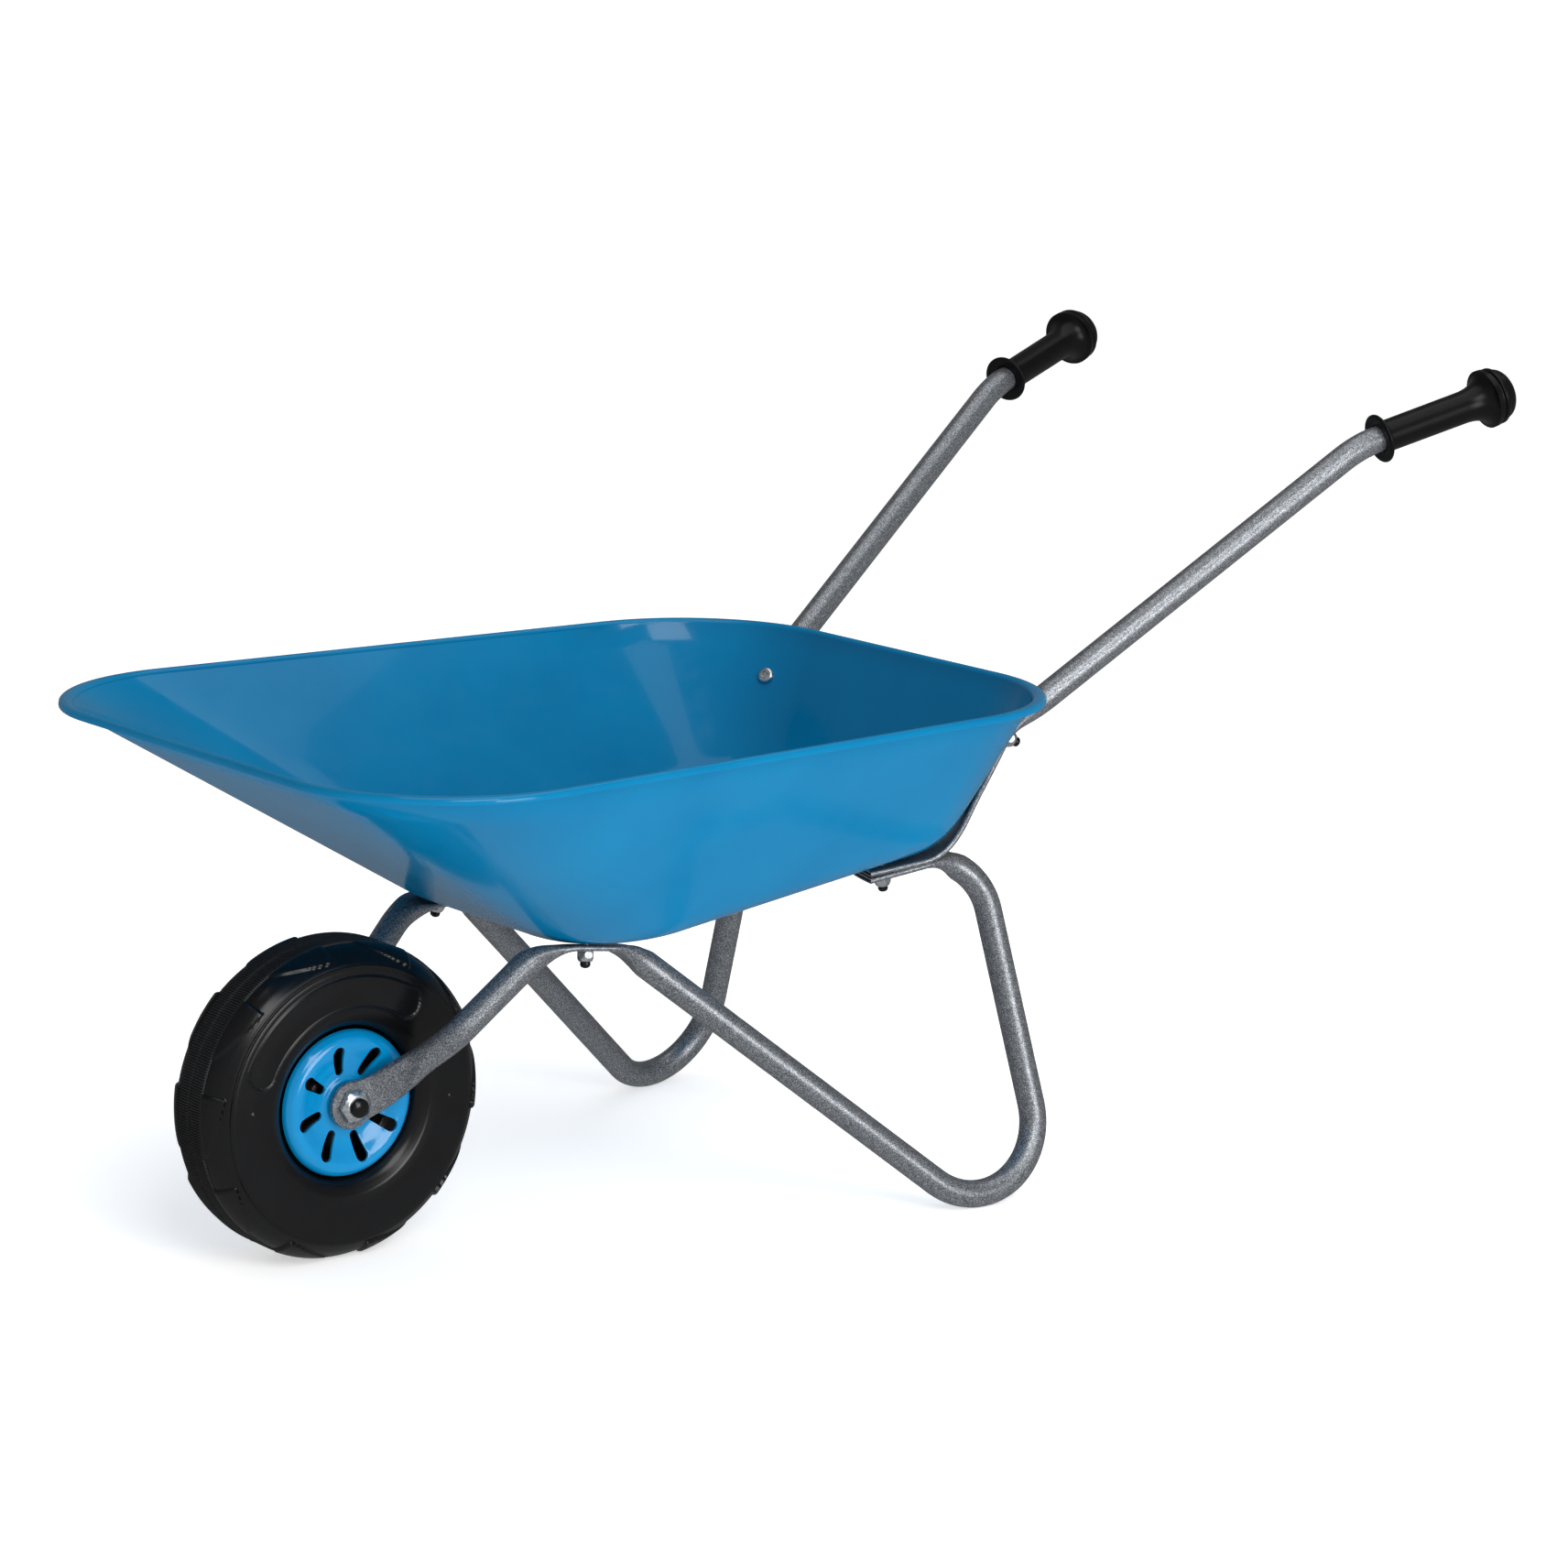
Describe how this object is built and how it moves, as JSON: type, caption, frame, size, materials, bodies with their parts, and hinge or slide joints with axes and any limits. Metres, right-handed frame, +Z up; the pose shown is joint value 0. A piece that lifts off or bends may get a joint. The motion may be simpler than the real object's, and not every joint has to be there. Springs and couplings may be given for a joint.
{
  "type": "wheelbarrow",
  "caption": "Small garden wheelbarrow: glossy blue pressed tray on bent silver tubes with flattened, bolted ends, black grips and one black wheel with blue slotted hub caps.",
  "frame": {"origin": "on the ground under the middle of the whole barrow's box", "axes": "+X forward from the grips to the wheel, +Y to the left of the person holding the handles, +Z up"},
  "size_m": [0.7728, 0.3846, 0.4338],
  "materials": {
    "tray_enamel": "high-gloss blue enamel with a clean, even surface",
    "tube_paint": "silver-grey metallic powder coat, fine sparkle, satin-gloss",
    "grip_plastic": "black soft plastic, satin with a fine grain",
    "wheel_plastic": "black blow-moulded plastic, satin-gloss",
    "tread_rubber": "dark matt ribbed tread",
    "hub_plastic": "glossy blue plastic",
    "zinc": "bright zinc-plated steel",
    "cap_plastic": "black glossy plastic caps",
    "bush_nylon": "grey nylon"
  },
  "bodies": {
    "frame": {"tray": "tray_enamel", "frame_tube_left": "tube_paint", "handle_tube_left": "tube_paint", "grip_left": "grip_plastic", "front_screw_left": "zinc", "front_nut_left": "zinc", "front_cap_left": "cap_plastic", "rear_screw_left": "zinc", "rear_nut_left": "zinc", "rear_cap_left": "cap_plastic", "wall_screw_left": "zinc", "wall_nut_left": "zinc", "wall_cap_left": "cap_plastic", "frame_tube_right": "tube_paint", "handle_tube_right": "tube_paint", "grip_right": "grip_plastic", "front_screw_right": "zinc", "front_nut_right": "zinc", "front_cap_right": "cap_plastic", "rear_screw_right": "zinc", "rear_nut_right": "zinc", "rear_cap_right": "cap_plastic", "wall_screw_right": "zinc", "wall_nut_right": "zinc", "wall_cap_right": "cap_plastic", "axle_bolt": "zinc", "axle_nut": "zinc", "axle_cap": "cap_plastic"},
    "wheel": {"wheel_body": "wheel_plastic", "tread_band": "tread_rubber", "hub_cap_left": "hub_plastic", "hub_cap_right": "hub_plastic", "wheel_bush_left": "bush_nylon", "wheel_bush_right": "bush_nylon"}
  },
  "joints": [
    {"name": "wheel_spin", "type": "hinge", "parent": "frame", "child": "wheel", "pos_m": [0.30141, 0, 0.085], "axis": [0, 1, 0], "continuous": true}
  ]
}
